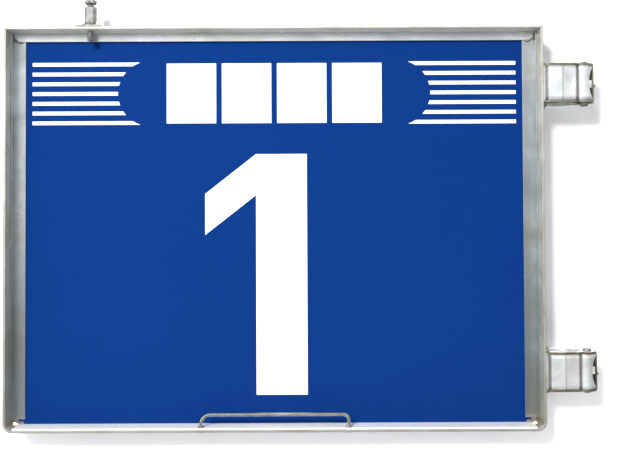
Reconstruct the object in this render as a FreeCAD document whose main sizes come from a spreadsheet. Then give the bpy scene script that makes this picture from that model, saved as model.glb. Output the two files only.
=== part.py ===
"""Gate number sign that clamps to an upright pole.

A flat board sits in a deep steel frame.  Two pressed clamps on the frame's right side close
round a 48.6 mm pole.  The origin is on the pole's axis, half way up the lower clamp: +X points
away from the frame, -Y is the sign's front and +Z is up.  Sizes are in millimetres.
"""
import FreeCAD, Part
import math
import os
import re
import Sketcher
from FreeCAD import Vector

os.makedirs("parts", exist_ok=True)
doc = FreeCAD.newDocument("GateSign")

# ---------------------------------------------------------------- driving dimensions
SIZES = {
    # frame: flat bar on edge, bent into a U, with a straight bar across the top
    "frame_width": 800,
    "frame_height": 600,
    "frame_depth": 40,
    "hoop_wall": 4,
    "corner_radius": 14,
    "liner_thick": 2.5,
    "liner_setback": 1,
    # face plates inside the frame
    "plate_setback": 32,
    "plate_thick": 2,
    "plate_width": 20,
    "plate_return": 10,
    "top_face_height": 13,
    "top_face_thick": 2,
    "top_face_radius": 8,
    # board and what holds it from behind
    "board_thick": 3,
    "board_gap": 0.3,
    "board_tuck": 9,
    "bar_thick": 2,
    "bar_width": 22,
    "bar_gap": 0.5,
    "stud_radius": 2.5,
    "stud_length": 12,
    "stud_spacing": 220,
    "stud_inset": 5.5,
    "stud_nut_flats": 8,
    "stud_nut_height": 4,
    # white film on the board
    "film_thick": 0.25,
    "film_band_share": 0.341,
    "stripe_thick": 5.5,
    "stripe_spread": 89.1,
    "stripe_margin": 9.5,
    "stripe_arc_radius": 50,
    "stripe_arc_offset": 187,
    "title_height": 91,
    "title_block": 75,
    "title_gap": 8.7,
    "numeral_share": 0.605,
    "numeral_width": 154,
    "numeral_stem": 77,
    "numeral_flag": 62,
    "numeral_slope": 60,
    "numeral_shift": 28,
    "numeral_lower_share": 0.116,
    # wire handle
    "handle_span": 218,
    "handle_rise": 18.7,
    "handle_setback": 6,
    "handle_foot": 1.2,
    "wire_radius": 2.5,
    "bend_left": 14,
    "bend_right": 8,
    # post with its bolt
    "post_offset": 126,
    "post_plate_length": 40,
    "post_plate_width": 30,
    "post_plate_thick": 3,
    "post_nut_flats": 16,
    "post_nut_height": 28.5,
    "post_bolt_radius": 5,
    "post_bolt_length": 55,
    "post_head_flats": 16,
    "post_head_height": 6.4,
    "thread_showing": 4.7,
    # pole clamps: the pole, and the heights that both halves share
    "clamp_spacing": 425,
    "clamp_inset": 87.5,
    "bore_radius": 24.3,
    "clamp_height": 58,
    "clamp_wall": 3.2,
    "wall_gap": 5.7,
    "ear_thick": 5.5,
    "entry_angle": 30,
    # saddle's pressed front, measured from the rivet towards the frame and away from it
    "saddle_wall": 3,
    "saddle_bend": 7.5,
    "crease_x": 4.5,
    "crease_rise": 1.6,
    "groove_left": 16.9,
    "groove_middle": 14.3,
    "groove_depth": 2.4,
    "bulge_left": 11.4,
    "bulge_radius": 9.6,
    "bulge_right": 2.6,
    "bulge_drop": 3.2,
    "rim_start": 10,
    "rim_reach": 12,
    "rim_wall": 2.4,
    "rim_slope": 4,
    "rim_setback": 8,
    "cavity_left": 11.85,
    "cavity_shoulder": 11.7,
    "cavity_slope": 19.4,
    "cavity_front": 0.8,
    "cavity_mouth": 1.5,
    "lens_radius": 40,
    "eye_half": 4,
    "eye_rear": 7.4,
    # hinge
    "hinge_inset": 3.8,
    "hinge_rise": 0.7,
    "knuckle_radius": 5.5,
    "knuckle_height": 39.4,
    "knuckle_tuck": 0.1,
    "hinge_pin_radius": 3,
    "pin_head_radius": 4.5,
    "hinge_room_front": 10.1,
    # lid
    "lid_start_angle": 34,
    "lid_end_angle": 129,
    "lid_inset": 1,
    "lug_overhang": 4.5,
    "lug_drop": 6.7,
    "lug_root": 1,
    "slot_play": 1.4,
    # rivet, swing bolt, washer and nut
    "rivet_gap": 8.2,
    "rivet_y": 9,
    "rivet_radius": 4.5,
    "rivet_head_radius": 6.2,
    "rivet_head_height": 4,
    "barrel_radius": 6.5,
    "swing_bolt_radius": 4,
    "swing_bolt_length": 49,
    "nut_back_off": 8.5,
    "nut_flats": 13,
    "nut_height": 8,
    "nut_flange_radius": 8,
    "nut_flange_height": 1.6,
    "washer_radius": 8,
    "washer_thick": 1.6,
    # clearances
    "running_fit": 0.05,
    "through_gap": 0.3,
}

sheet = doc.addObject("Spreadsheet::Sheet", "Sizes")
for row, (alias, number) in enumerate(SIZES.items(), start=1):
    sheet.set(f"A{row}", alias)
    sheet.set(f"B{row}", str(number))
    sheet.setAlias(f"B{row}", alias)
doc.recompute()

X_AXIS = Vector(1, 0, 0)
Z_AXIS = Vector(0, 0, 1)

# the frame's centre, and the heights and depths that several pieces share
POLE_OFFSET = "(bore_radius + wall_gap)"
FRAME_X = "(-" + POLE_OFFSET + " - frame_width / 2)"
FRAME_Z = "(frame_height / 2 - clamp_inset)"
FRAME_BOTTOM = "(-clamp_inset)"
FRAME_TOP = "(frame_height - clamp_inset)"
INNER_WALL = "(frame_width / 2 - hoop_wall)"
PLATE_FRONT = "(-frame_depth / 2 + plate_setback)"
PLATE_REAR = "(-frame_depth / 2 + plate_setback + plate_thick)"
BOARD_FRONT = "(-frame_depth / 2 + plate_setback + plate_thick + board_gap)"
BOARD_REAR = "(-frame_depth / 2 + plate_setback + plate_thick + board_gap + board_thick)"
BAR_REAR = "(" + BOARD_REAR + " + board_gap + bar_thick)"
FLATS_TO_RADIUS = 1 / math.sqrt(3)

nodes = []


def cell(text):
    """Turns an expression in alias names into one that reads the sheet."""
    return re.sub(r"[a-z_][a-z_0-9]*", lambda m: "Sizes." + m[0] if m[0] in SIZES else m[0], text)


def value(text):
    """Number that an expression in alias names stands for."""
    result = sheet.evalExpression(cell(text))
    return float(getattr(result, "Value", result))


def bind(obj, **expressions):
    """Binds properties of an object to expressions in alias names."""
    for name, text in expressions.items():
        obj.setExpression(name, cell(text))
    return obj


def place(obj, x="0", y="0", z="0", axis=Z_AXIS, angle=0):
    """Turns an object about an axis and binds its place."""
    obj.Placement = FreeCAD.Placement(Vector(), FreeCAD.Rotation(axis, angle))
    for name, text in (("x", x), ("y", y), ("z", z)):
        obj.setExpression("Placement.Base." + name, cell(text))
    return obj


def node(obj, label):
    """Names an object as one sub-part of the sign."""
    obj.Label = label
    nodes.append(obj)
    return obj


def box(length, width, height, x="0", y="0", z="0", angle=0):
    """Box bound to the sheet, with its lowest corner at x, y, z."""
    obj = doc.addObject("Part::Box", "Box")
    bind(obj, Length=length, Width=width, Height=height)
    return place(obj, x, y, z, Z_AXIS, angle)


def cylinder(radius, height, x="0", y="0", z="0", axis=Z_AXIS, angle=0):
    """Cylinder bound to the sheet; it stands on x, y, z along its turned axis."""
    obj = doc.addObject("Part::Cylinder", "Cylinder")
    bind(obj, Radius=radius, Height=height)
    return place(obj, x, y, z, axis, angle)


def hexagon(flats, height, x="0", y="0", z="0", axis=Z_AXIS, angle=0):
    """Hexagonal prism, sized across its flats."""
    obj = doc.addObject("Part::Prism", "Hexagon")
    obj.Polygon = 6
    bind(obj, Circumradius=f"({flats}) * {FLATS_TO_RADIUS}", Height=height)
    return place(obj, x, y, z, axis, angle)


def cut(base, tool):
    obj = doc.addObject("Part::Cut", "Cut")
    obj.Base = base
    obj.Tool = tool
    return obj


def common(base, tool):
    obj = doc.addObject("Part::Common", "Common")
    obj.Base = base
    obj.Tool = tool
    return obj


def fuse(*shapes):
    obj = doc.addObject("Part::MultiFuse", "Fuse")
    obj.Shapes = list(shapes)
    obj.Refine = True
    return obj


def group(shapes):
    """Several separate solids kept as one sub-part."""
    obj = doc.addObject("Part::Compound", "Group")
    obj.Links = list(shapes)
    return obj


def pin_point(sketch, edge, point, x, y):
    """Ties one point of a sketch to the coordinates x, y."""
    for kind, axis, text in (("DistanceX", -2, x), ("DistanceY", -1, y)):
        if abs(value(text)) < 1e-9:
            sketch.addConstraint(Sketcher.Constraint("PointOnObject", edge, point, axis))
        else:
            index = sketch.addConstraint(Sketcher.Constraint(kind, edge, point, value(text)))
            sketch.setExpression(f"Constraints[{index}]", cell(text))


def attach(body, name, role):
    """New sketch on one of the body's own origin planes."""
    sketch = body.newObject("Sketcher::SketchObject", name)
    plane = [item for item in body.Origin.OriginFeatures if item.Role == role][0]
    sketch.AttachmentSupport = [(plane, "")]
    sketch.MapMode = "FlatFace"
    return sketch


def draw(sketch, vertices, closed=True):
    """Draws lines and arcs from vertex to vertex.

    A vertex is (x, y), or (x, y, radius, turn) where the edge that leaves it is an arc: turn is 1
    where the arc bends left and -1 where it bends right.
    """
    places = [Vector(value(item[0]), value(item[1]), 0) for item in vertices]
    count = len(vertices) if closed else len(vertices) - 1
    ends = []
    for index in range(count):
        start = places[index]
        stop = places[(index + 1) % len(places)]
        if len(vertices[index]) == 2:
            edge = sketch.addGeometry(Part.LineSegment(start, stop))
            ends.append((edge, 1, 2))
            continue
        radius, turn = value(vertices[index][2]), vertices[index][3]
        chord = stop - start
        rise = math.sqrt(max(radius ** 2 - (chord.Length / 2) ** 2, 0))
        centre = (start + stop) / 2 + Vector(-chord.y, chord.x, 0).normalize() * rise * turn
        first, last = (start, stop) if turn > 0 else (stop, start)
        angles = [math.atan2(point.y - centre.y, point.x - centre.x) for point in (first, last)]
        arc = Part.ArcOfCircle(Part.Circle(centre, Z_AXIS, radius), *angles)
        edge = sketch.addGeometry(arc)
        ends.append((edge, 1, 2) if turn > 0 else (edge, 2, 1))
        bound = sketch.addConstraint(Sketcher.Constraint("Radius", edge, radius))
        sketch.setExpression(f"Constraints[{bound}]", cell(vertices[index][2]))
    for index, (edge, start_point, _) in enumerate(ends):
        pin_point(sketch, edge, start_point, *vertices[index][:2])
        if closed or index > 0:
            before = ends[index - 1]
            joint = Sketcher.Constraint("Coincident", before[0], before[2], edge, start_point)
            sketch.addConstraint(joint)
    if not closed:
        pin_point(sketch, ends[-1][0], ends[-1][2], *vertices[-1][:2])


def profile(vertices, length, x="0", y="0", z="0", upright=False):
    """Body padded from an outline.

    The outline lies in XY and is padded upwards; upright stands it in XZ and pads it forwards.
    """
    body = doc.addObject("PartDesign::Body", "Body")
    sketch = attach(body, "Outline", "XY_Plane")
    draw(sketch, vertices)
    pad = body.newObject("PartDesign::Pad", "Pad")
    pad.Profile = sketch
    bind(pad, Length=length)
    body.Tip = pad
    return place(body, x, y, z, X_AXIS, 90 if upright else 0)


# ---------------------------------------------------------------- frame
def make_side(label, side):
    """Straight upright of the bent flat bar, from its bend to the top."""
    upright = box("hoop_wall", "frame_depth", "frame_height - corner_radius",
                  f"{FRAME_X} - {side} * (frame_width / 2 - hoop_wall / 2) - hoop_wall / 2",
                  "-frame_depth / 2", FRAME_BOTTOM + " + corner_radius")
    node(upright, label)


def make_corner(label, side):
    """Quarter bend between an upright and the bottom leg."""
    inner, outer = "corner_radius - hoop_wall", "corner_radius"
    if side > 0:
        outline = [
            ("-corner_radius", "0", outer, 1),
            ("0", "-corner_radius"),
            ("0", "-corner_radius + hoop_wall", inner, -1),
            ("-corner_radius + hoop_wall", "0"),
        ]
    else:
        outline = [
            ("0", "-corner_radius", outer, 1),
            ("corner_radius", "0"),
            ("corner_radius - hoop_wall", "0", inner, -1),
            ("0", "-corner_radius + hoop_wall"),
        ]
    bend = profile(outline, "frame_depth", f"{FRAME_X} - {side} * (frame_width / 2 - corner_radius)",
                   "frame_depth / 2", FRAME_BOTTOM + " + corner_radius", upright=True)
    node(bend, label)


def make_bottom_leg():
    """Bottom leg of the bent bar, with two holes for the wire handle."""
    leg = box("frame_width - 2 * corner_radius", "frame_depth", "hoop_wall",
              f"{FRAME_X} - frame_width / 2 + corner_radius", "-frame_depth / 2", FRAME_BOTTOM)
    node(cut(leg, handle_holes()), "bottom_leg")


def handle_holes():
    """Cylinders where the handle's two legs pass through the bottom of the frame."""
    legs = []
    for side in ("-", "+"):
        legs.append(cylinder("wire_radius + running_fit", "2 * (hoop_wall + liner_thick)",
                             f"{FRAME_X} {side} handle_span / 2", HANDLE_Y,
                             FRAME_BOTTOM + " - hoop_wall"))
    return fuse(*legs)


def make_top_bar():
    bar = box("2 * " + INNER_WALL, "frame_depth", "hoop_wall",
              f"{FRAME_X} - {INNER_WALL}", "-frame_depth / 2", FRAME_TOP + " - hoop_wall")
    node(cut(bar, post_hole()), "top_bar")


def make_bottom_liner():
    liner = box("frame_width - 2 * corner_radius", "frame_depth - liner_setback", "liner_thick",
                f"{FRAME_X} - frame_width / 2 + corner_radius",
                "-frame_depth / 2 + liner_setback", FRAME_BOTTOM + " + hoop_wall")
    node(cut(liner, handle_holes()), "bottom_liner")


def make_side_plate(name, side):
    """Angle beside the board: a face, and a return that stands forward on the frame's wall."""
    wall = f"{FRAME_X} - {side} * {INNER_WALL}"
    lowest = FRAME_BOTTOM + " + hoop_wall + liner_thick"
    face = box("plate_width", "plate_thick", "frame_height - 2 * hoop_wall - liner_thick",
               f"{wall} + {side} * plate_width / 2 - plate_width / 2", PLATE_FRONT, lowest)
    corner = box("2 * (corner_radius - hoop_wall)", "frame_depth",
                 "corner_radius - hoop_wall - liner_thick",
                 f"{wall} - corner_radius + hoop_wall", "-frame_depth / 2", lowest)
    node(cut(face, corner), name + "_plate")
    stand = box("plate_thick", "plate_return", "frame_height - hoop_wall - corner_radius",
                f"{wall} + {side} * plate_thick / 2 - plate_thick / 2",
                PLATE_FRONT + " - plate_return", FRAME_BOTTOM + " + corner_radius")
    node(stand, name + "_return")


def make_top_face():
    """Plate under the top bar; its rounded ends lap over the two side plates."""
    half = "(" + INNER_WALL + " - plate_thick - bar_gap)"
    outline = [
        ("-" + half, "0"),
        ("-" + half, "-top_face_height + top_face_radius", "top_face_radius", 1),
        (f"-{half} + top_face_radius", "-top_face_height"),
        (f"{half} - top_face_radius", "-top_face_height", "top_face_radius", 1),
        (half, "-top_face_height + top_face_radius"),
        (half, "0"),
    ]
    face = profile(outline, "top_face_thick", FRAME_X, PLATE_FRONT,
                   FRAME_TOP + " - hoop_wall", upright=True)
    node(face, "top_face")


# ---------------------------------------------------------------- board
def make_board():
    half = "(" + INNER_WALL + " - plate_width + board_tuck)"
    lowest = FRAME_BOTTOM + " + hoop_wall + liner_thick"
    board = box("2 * " + half, "board_thick", "frame_height - 2 * hoop_wall - liner_thick - bar_gap",
                f"{FRAME_X} - {half}", BOARD_FRONT, lowest)
    node(board, "board")


def make_retaining_bar(label, side):
    """Stepped bar that traps the board against a side plate, with holes for three studs."""
    thick_end = f"{side} * (plate_width - board_tuck - bar_gap)"
    outline = [
        (f"{side} * bar_gap", PLATE_REAR),
        (thick_end, PLATE_REAR),
        (thick_end, BOARD_REAR + " + board_gap"),
        (f"{side} * bar_width", BOARD_REAR + " + board_gap"),
        (f"{side} * bar_width", BAR_REAR),
        (f"{side} * bar_gap", BAR_REAR),
    ]
    bar = profile(outline, "frame_height - hoop_wall - corner_radius",
                  f"{FRAME_X} - {side} * {INNER_WALL}", "0", FRAME_BOTTOM + " + corner_radius")
    holes = [cylinder("stud_radius + through_gap", "frame_depth", x, PLATE_REAR + " - 1", z,
                      X_AXIS, -90) for x, z in stud_places(side)]
    node(cut(bar, fuse(*holes)), label)


def stud_places(side):
    """Where the three studs of one side stand."""
    x = f"{FRAME_X} - {side} * ({INNER_WALL} - stud_inset)"
    return [(x, f"{FRAME_Z} + {step} * stud_spacing") for step in (-1, 0, 1)]


def make_studs():
    """Six weld studs behind the side plates, and the nuts that draw the bars down."""
    studs = []
    nuts = []
    for side in (1, -1):
        for x, z in stud_places(side):
            studs.append(cylinder("stud_radius", "stud_length", x, PLATE_REAR, z, X_AXIS, -90))
            outer = hexagon("stud_nut_flats", "stud_nut_height", x, BAR_REAR, z, X_AXIS, -90)
            bore = cylinder("stud_radius + running_fit", "frame_depth", x, PLATE_REAR, z,
                            X_AXIS, -90)
            nuts.append(cut(outer, bore))
    node(group(studs), "board_studs")
    node(group(nuts), "board_nuts")


# ---------------------------------------------------------------- white film
BAND_Z = FRAME_Z + " + film_band_share * frame_height"
NUMERAL_HEIGHT = "(numeral_share * frame_height)"
NUMERAL_Z = FRAME_Z + " - numeral_lower_share * frame_height"


def film(vertices, x, z):
    """Thin solid on the board's front, from an outline measured from x, z."""
    return profile(vertices, "film_thick", x, BOARD_FRONT, z, upright=True)


def make_stripes(label, side):
    """Seven bars beside the title; their inner ends follow a circle."""
    count = 7
    length = f"({INNER_WALL} - plate_width - stripe_margin - stripe_arc_offset)"
    start = "stripe_arc_offset" if side > 0 else f"-stripe_arc_offset - {length}"
    circle = cylinder("stripe_arc_radius", "film_thick * 3", f"{FRAME_X} + {side} * stripe_arc_offset",
                      BOARD_FRONT + " + film_thick", BAND_Z, X_AXIS, 90)
    bars = []
    for index in range(count):
        height = f"stripe_spread * ({index / (count - 1)} - 0.5)"
        bar = box(length, "film_thick", "stripe_thick", f"{FRAME_X} + {start}",
                  BOARD_FRONT + " - film_thick", f"{BAND_Z} + {height} - stripe_thick / 2")
        bars.append(cut(bar, circle))
    node(group(bars), label)


def make_title():
    """Four plain blocks of film in the title's place, centred between the stripes."""
    count = 4
    step = "(title_block + title_gap)"
    start = f"{FRAME_X} - ({count} * title_block + {count - 1} * title_gap) / 2"
    blocks = [box("title_block", "film_thick", "title_height", f"{start} + {index} * {step}",
                  BOARD_FRONT + " - film_thick", BAND_Z + " - title_height / 2")
              for index in range(count)]
    node(group(blocks), "title_film")


def make_numeral():
    """A plain figure 1: an upright stem and a straight sloping flag."""
    outline = [
        ("0", "0"),
        ("0", NUMERAL_HEIGHT + " - numeral_flag"),
        ("numeral_stem - numeral_width", NUMERAL_HEIGHT + " - numeral_flag - numeral_slope"),
        ("numeral_stem - numeral_width", NUMERAL_HEIGHT + " - numeral_slope"),
        ("0", NUMERAL_HEIGHT),
        ("numeral_stem", NUMERAL_HEIGHT),
        ("numeral_stem", "0"),
    ]
    numeral = film(outline, f"{FRAME_X} - numeral_shift", f"{NUMERAL_Z} - {NUMERAL_HEIGHT} / 2")
    node(numeral, "numeral_film")


# ---------------------------------------------------------------- wire handle
HANDLE_Y = "(-frame_depth / 2 + handle_setback)"


def make_handle():
    """Round wire bent twice; its legs pass through the frame and are peened below."""
    top = "(handle_foot + hoop_wall + liner_thick + handle_rise)"
    body = doc.addObject("PartDesign::Body", "Body")
    path = attach(body, "Path", "XZ_Plane")
    draw(path, [
        ("0", "0"),
        ("0", top + " - bend_left", "bend_left", -1),
        ("bend_left", top),
        ("handle_span - bend_right", top, "bend_right", -1),
        ("handle_span", top + " - bend_right"),
        ("handle_span", "0"),
    ], closed=False)
    section = attach(body, "Section", "XY_Plane")
    section.addGeometry(Part.Circle(Vector(), Z_AXIS, value("wire_radius")))
    section.addConstraint(Sketcher.Constraint("Coincident", 0, 3, -1, 1))
    bound = section.addConstraint(Sketcher.Constraint("Radius", 0, value("wire_radius")))
    section.setExpression(f"Constraints[{bound}]", cell("wire_radius"))
    pipe = body.newObject("PartDesign::AdditivePipe", "Pipe")
    pipe.Profile = section
    pipe.Spine = path
    body.Tip = pipe
    node(place(body, f"{FRAME_X} - handle_span / 2", HANDLE_Y, FRAME_BOTTOM + " - handle_foot"),
         "wire_handle")


# ---------------------------------------------------------------- post
POST_X = "(-" + POLE_OFFSET + " - frame_width + post_offset)"
POST_Y = "(-frame_depth / 2 + post_plate_width / 2)"
POST_NUT_Z = "(" + FRAME_TOP + " + post_plate_thick)"


def post_hole():
    """Clearance hole for the bolt through the top bar and the base plate."""
    return cylinder("post_bolt_radius + through_gap", "4 * hoop_wall", POST_X, POST_Y,
                    FRAME_TOP + " - 2 * hoop_wall")


def make_post():
    """Base plate and long nut welded on the frame, with a hexagon bolt screwed through them."""
    base = box("post_plate_length", "post_plate_width", "post_plate_thick",
               POST_X + " - post_plate_length / 2", POST_Y + " - post_plate_width / 2", FRAME_TOP)
    node(cut(base, post_hole()), "post_base")

    outer = hexagon("post_nut_flats", "post_nut_height", POST_X, POST_Y, POST_NUT_Z)
    bore = cylinder("post_bolt_radius + running_fit", "2 * post_nut_height", POST_X, POST_Y,
                    POST_NUT_Z + " - post_nut_height / 2")
    node(cut(outer, bore), "post_nut")

    head_z = f"{POST_NUT_Z} + post_nut_height + thread_showing"
    head = hexagon("post_head_flats", "post_head_height", POST_X, POST_Y, head_z)
    shank = cylinder("post_bolt_radius", "post_bolt_length", POST_X, POST_Y,
                     head_z + " - post_bolt_length")
    node(fuse(head, shank), "post_bolt")


# ---------------------------------------------------------------- pole clamps
RIVET_X = "(bore_radius + rivet_gap)"
HINGE_X = "(-bore_radius + hinge_inset)"
HINGE_Y = "(bore_radius + hinge_rise)"
LUG_REAR = "(bore_radius - lug_drop)"
CLAMP_FRONT = "(-bore_radius - clamp_wall)"
CAVITY_HEIGHT = "(clamp_height - 2 * ear_thick)"
LID_HEIGHT = "(clamp_height - 2 * lid_inset)"
SLOT_WIDTH = "(2 * swing_bolt_radius + slot_play)"
NUT_Y = "(" + LUG_REAR + " + nut_back_off + washer_thick)"


def band(level, height):
    """Lowest level of a band of this height, centred on the clamp."""
    return f"{level} - ({height}) / 2"


def upright(radius, level, x, y):
    """Cylinder along Z through the whole clamp."""
    return cylinder(radius, "clamp_height", x, y, band(level, "clamp_height"))


def make_saddle(name, level):
    """Front half of a clamp, welded to the frame's side."""
    wall = POLE_OFFSET
    body = profile([
        ("-" + wall, HINGE_Y + " + knuckle_radius"),
        ("-" + wall, CLAMP_FRONT + " + saddle_bend", "saddle_bend", 1),
        (f"-{wall} + saddle_bend", CLAMP_FRONT),
        ("-crease_x", CLAMP_FRONT + " - crease_rise"),
        (RIVET_X + " - groove_left", CLAMP_FRONT),
        (RIVET_X + " - groove_middle", CLAMP_FRONT + " + groove_depth"),
        (RIVET_X + " - bulge_left", CLAMP_FRONT, "bulge_radius", 1),
        (RIVET_X + " + bulge_right", CLAMP_FRONT + " + bulge_drop"),
        (RIVET_X + " + rim_start", CLAMP_FRONT + " + rim_setback"),
        (RIVET_X + " + rim_reach", CLAMP_FRONT + " + rim_setback + rim_slope"),
        (RIVET_X + " + rim_reach", "-rivet_y"),
        (RIVET_X + " + eye_half", "-rivet_y + eye_rear"),
        (RIVET_X + " - eye_half", "-rivet_y + eye_rear"),
        ("0", "0"),
        (HINGE_X + " + knuckle_radius", HINGE_Y, "knuckle_radius", 1),
        (HINGE_X, HINGE_Y + " + knuckle_radius"),
    ], "clamp_height", z=band(level, "clamp_height"))
    pole = upright("bore_radius", level, "0", "0")
    entry = box("2 * bore_radius", "4 * bore_radius", "clamp_height",
                "-bore_radius * cos(entry_angle)", "bore_radius * sin(entry_angle)",
                band(level, "clamp_height"), -value("entry_angle"))
    cavity = profile([
        (RIVET_X + " - cavity_left", "bore_radius"),
        (RIVET_X + " - cavity_left", "-cavity_shoulder"),
        ("bore_radius", "-cavity_slope"),
        (RIVET_X + " - barrel_radius", CLAMP_FRONT + " + cavity_front"),
        (RIVET_X + " + cavity_mouth", CLAMP_FRONT + " + cavity_mouth"),
        (RIVET_X + " + rim_reach - rim_wall", CLAMP_FRONT + " + rim_setback - cavity_mouth"),
        (RIVET_X + " + rim_reach - rim_wall", "-rivet_y - swing_bolt_radius - cavity_mouth"),
        (RIVET_X + " + 2 * rim_reach", "-rivet_y - swing_bolt_radius - cavity_mouth"),
        (RIVET_X + " + 2 * rim_reach", "bore_radius"),
    ], CAVITY_HEIGHT, z=band(level, CAVITY_HEIGHT))
    lens = common(
        cylinder("lens_radius", "bore_radius", RIVET_X + " + bulge_right + lens_radius", "-rivet_y",
                 level, X_AXIS, 90),
        box("rim_reach - rim_wall", "2 * bore_radius", CAVITY_HEIGHT, RIVET_X, "-2 * bore_radius",
            band(level, CAVITY_HEIGHT)))
    room_height = "(knuckle_height + 2 * through_gap)"
    hinge_room = box("2 * bore_radius", "2 * bore_radius", room_height, f"-{wall} + saddle_wall",
                     "hinge_room_front", band(level, room_height))
    hinge_hole = upright("hinge_pin_radius + running_fit", level, HINGE_X, HINGE_Y)
    rivet_hole = upright("rivet_radius + running_fit", level, RIVET_X, "-rivet_y")
    tools = fuse(pole, entry, cavity, lens, hinge_room, hinge_hole, rivet_hole)
    node(cut(body, tools), name + "_saddle")


def make_headed_pin(label, level, x, y, radius, head_radius):
    """Pin through the whole clamp, with a round head above and below."""
    caps = [cylinder(head_radius, "rivet_head_height", x, y, f"{level} + clamp_height / 2"),
            cylinder(head_radius, "rivet_head_height", x, y,
                     f"{level} - clamp_height / 2 - rivet_head_height")]
    node(fuse(upright(radius, level, x, y), *caps), label)


def make_lid(name, level):
    """Rear half of a clamp: shell, slotted lug for the bolt, and knuckle on the hinge pin."""
    low = band(level, LID_HEIGHT)
    ring = cut(cylinder("bore_radius + clamp_wall", LID_HEIGHT, z=low),
               cylinder("bore_radius", LID_HEIGHT, z=low))
    reach = "3 * bore_radius"
    sector = profile([
        ("0", "0"),
        (f"{reach} * cos(lid_start_angle)", f"{reach} * sin(lid_start_angle)"),
        ("0", reach),
        (f"{reach} * cos(lid_end_angle)", f"{reach} * sin(lid_end_angle)"),
    ], LID_HEIGHT, z=low)
    root = f"(sqrt(bore_radius ^ 2 - ({LUG_REAR} - clamp_wall) ^ 2) + lug_root)"
    lug = box(f"{RIVET_X} + lug_overhang - {root}", "clamp_wall", LID_HEIGHT, root,
              LUG_REAR + " - clamp_wall", low)
    hinge_clearance = upright("knuckle_radius + 5 * through_gap", level, HINGE_X, HINGE_Y)
    saddle_side = box("bore_radius", "4 * bore_radius", "clamp_height",
                      "(through_gap - 2 * bore_radius) * cos(entry_angle)",
                      "(2 * bore_radius - through_gap) * sin(entry_angle)",
                      band(level, "clamp_height"), -value("entry_angle"))
    shell = cut(fuse(common(ring, sector), lug), fuse(hinge_clearance, saddle_side))
    knuckle_low = band(level, "knuckle_height")
    knuckle = cylinder("knuckle_radius", "knuckle_height", HINGE_X, HINGE_Y, knuckle_low)
    far = "(bore_radius + clamp_wall)"
    web = profile([
        (HINGE_X, HINGE_Y + " - knuckle_radius + knuckle_tuck"),
        ("bore_radius * cos(lid_end_angle)", "bore_radius * sin(lid_end_angle)"),
        (f"{far} * cos(lid_end_angle - 2 * hinge_inset)", f"{far} * sin(lid_end_angle - 2 * hinge_inset)"),
        (HINGE_X, HINGE_Y + " + knuckle_radius - knuckle_tuck"),
    ], "knuckle_height", z=knuckle_low)
    slot = box(f"2 * {SLOT_WIDTH}", "bore_radius", SLOT_WIDTH, f"{RIVET_X} - {SLOT_WIDTH} / 2",
               "bore_radius / 2", band(level, SLOT_WIDTH))
    pin_bore = upright("hinge_pin_radius + running_fit", level, HINGE_X, HINGE_Y)
    node(cut(fuse(shell, knuckle, web), fuse(slot, pin_bore)), name + "_lid")


def make_swing_bolt(name, level):
    """Barrel on the rivet with a shank that points to the rear."""
    height = f"({CAVITY_HEIGHT} - 4 * through_gap)"
    barrel = cylinder("barrel_radius", height, RIVET_X, "-rivet_y", band(level, height))
    shank = cylinder("swing_bolt_radius", "swing_bolt_length", RIVET_X, "-rivet_y", level, X_AXIS, -90)
    bore = upright("rivet_radius + running_fit", level, RIVET_X, "-rivet_y")
    node(cut(fuse(barrel, shank), bore), name + "_swing_bolt")


def make_nut(name, level):
    """Washer and flanged nut, backed off so that the bolt can swing out of the lug."""
    thread = cylinder("swing_bolt_radius + running_fit", "swing_bolt_length", RIVET_X, "0", level,
                      X_AXIS, -90)
    washer = cylinder("washer_radius", "washer_thick", RIVET_X, NUT_Y + " - washer_thick", level,
                      X_AXIS, -90)
    node(cut(washer, thread), name + "_washer")
    flange = cylinder("nut_flange_radius", "nut_flange_height", RIVET_X, NUT_Y, level, X_AXIS, -90)
    hexed = hexagon("nut_flats", "nut_height", RIVET_X, NUT_Y, level, X_AXIS, -90)
    node(cut(fuse(flange, hexed), thread), name + "_nut")


def make_clamp(name, level):
    """One pressed clamp with all its pieces, its middle at this level."""
    make_saddle(name, level)
    make_headed_pin(name + "_hinge_pin", level, HINGE_X, HINGE_Y, "hinge_pin_radius", "pin_head_radius")
    make_headed_pin(name + "_rivet", level, RIVET_X, "-rivet_y", "rivet_radius", "rivet_head_radius")
    make_lid(name, level)
    make_swing_bolt(name, level)
    make_nut(name, level)


make_side("left_side", 1)
make_side("right_side", -1)
make_corner("left_corner", 1)
make_corner("right_corner", -1)
make_bottom_leg()
make_top_bar()
make_bottom_liner()
make_side_plate("left", 1)
make_side_plate("right", -1)
make_top_face()
make_board()
make_retaining_bar("left_retaining_bar", 1)
make_retaining_bar("right_retaining_bar", -1)
make_studs()
make_stripes("left_stripes", -1)
make_stripes("right_stripes", 1)
make_title()
make_numeral()
make_handle()
make_post()
make_clamp("lower", "0")
make_clamp("upper", "clamp_spacing")

doc.recompute()

# ---------------------------------------------------------------- checks and output
for item in doc.Objects:
    if {"Invalid", "Error"} & set(item.State):
        raise SystemExit(f"{item.Label} failed: {item.State}")
for item in nodes:
    if item.Shape.isNull() or not item.Shape.isValid() or not item.Shape.Solids:
        raise SystemExit(f"{item.Label} has no valid solid")
for item in nodes:
    item.Shape.exportStep(f"parts/{item.Label}.step")
    print(f"{item.Label}: {len(item.Shape.Solids)} solids, {item.Shape.Volume:.0f} mm3")
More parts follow.
